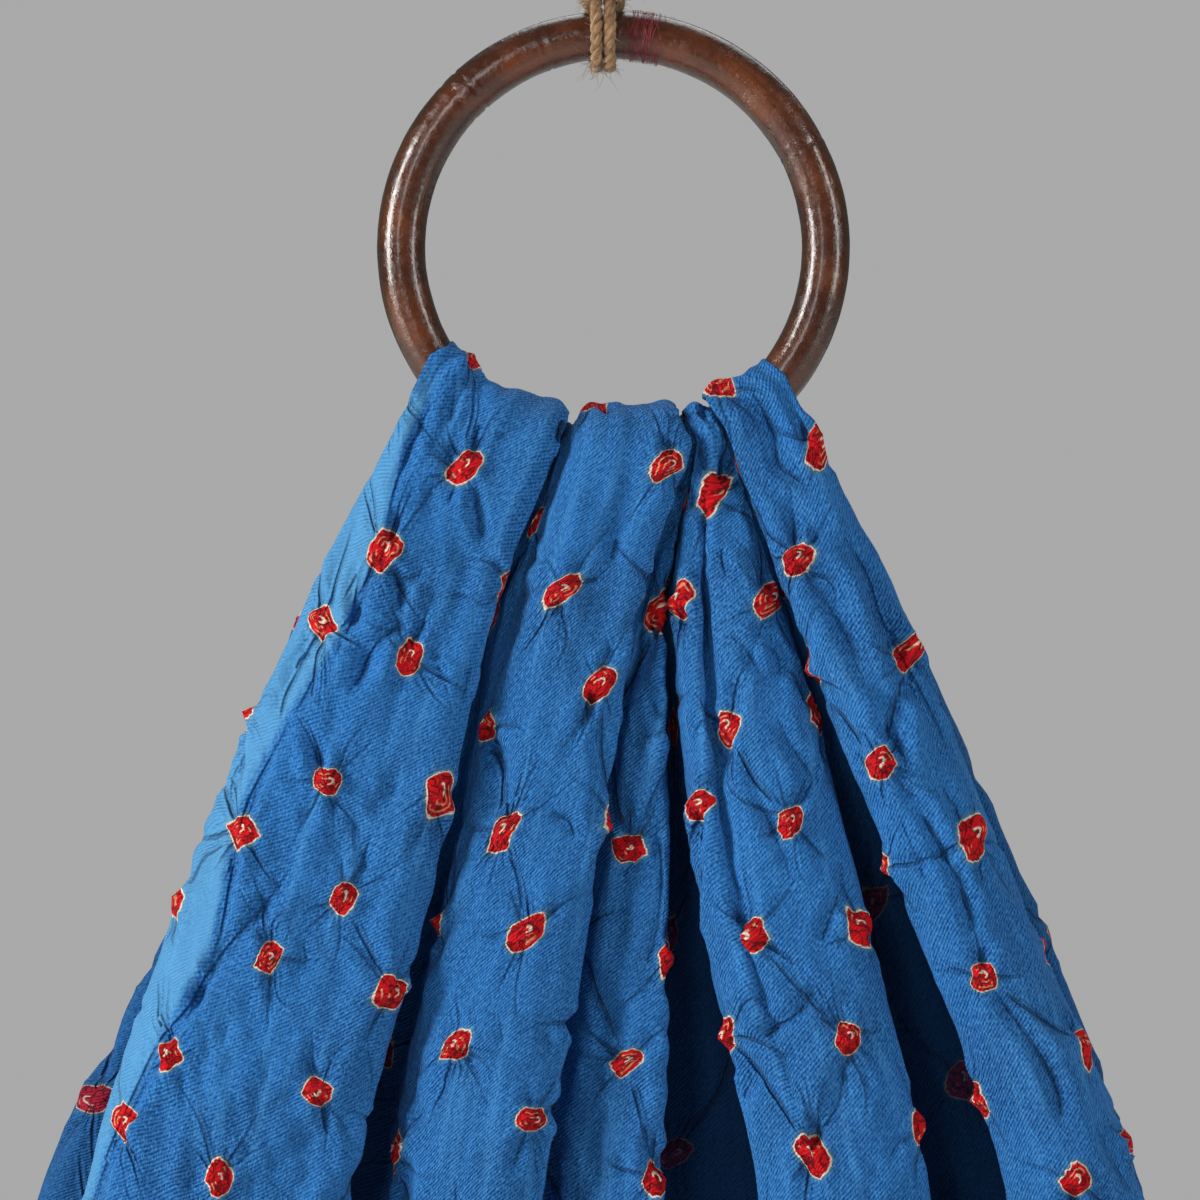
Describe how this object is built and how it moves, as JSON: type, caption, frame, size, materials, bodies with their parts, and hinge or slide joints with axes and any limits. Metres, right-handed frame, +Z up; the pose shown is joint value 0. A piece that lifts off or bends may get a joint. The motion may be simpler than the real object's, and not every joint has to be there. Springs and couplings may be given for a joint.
{
  "type": "bandhani fabric hung over a wooden ring",
  "caption": "Blue tie-dyed cotton cloth with red dots, gathered and draped in uneven folds over the lower arc of a plain wooden ring that hangs from a doubled jute twine.",
  "frame": {"origin": "the point that bears the twine's loop, straight above the ring", "axes": "+Z up, -Y towards the front face of the cloth, +X to the right seen from the front; the ring lies in the XZ plane"},
  "size_m": [0.2566, 0.0602, 0.3783],
  "materials": {
    "cloth": "matte dyed cotton twill with tied red dots",
    "ring_wood": "glossy worn dark lacquer",
    "twine": "rough natural jute"
  },
  "bodies": {
    "root": {"cloth": "cloth", "ring": "ring_wood", "twine": "twine", "twine_knot": "twine"}
  },
  "joints": []
}
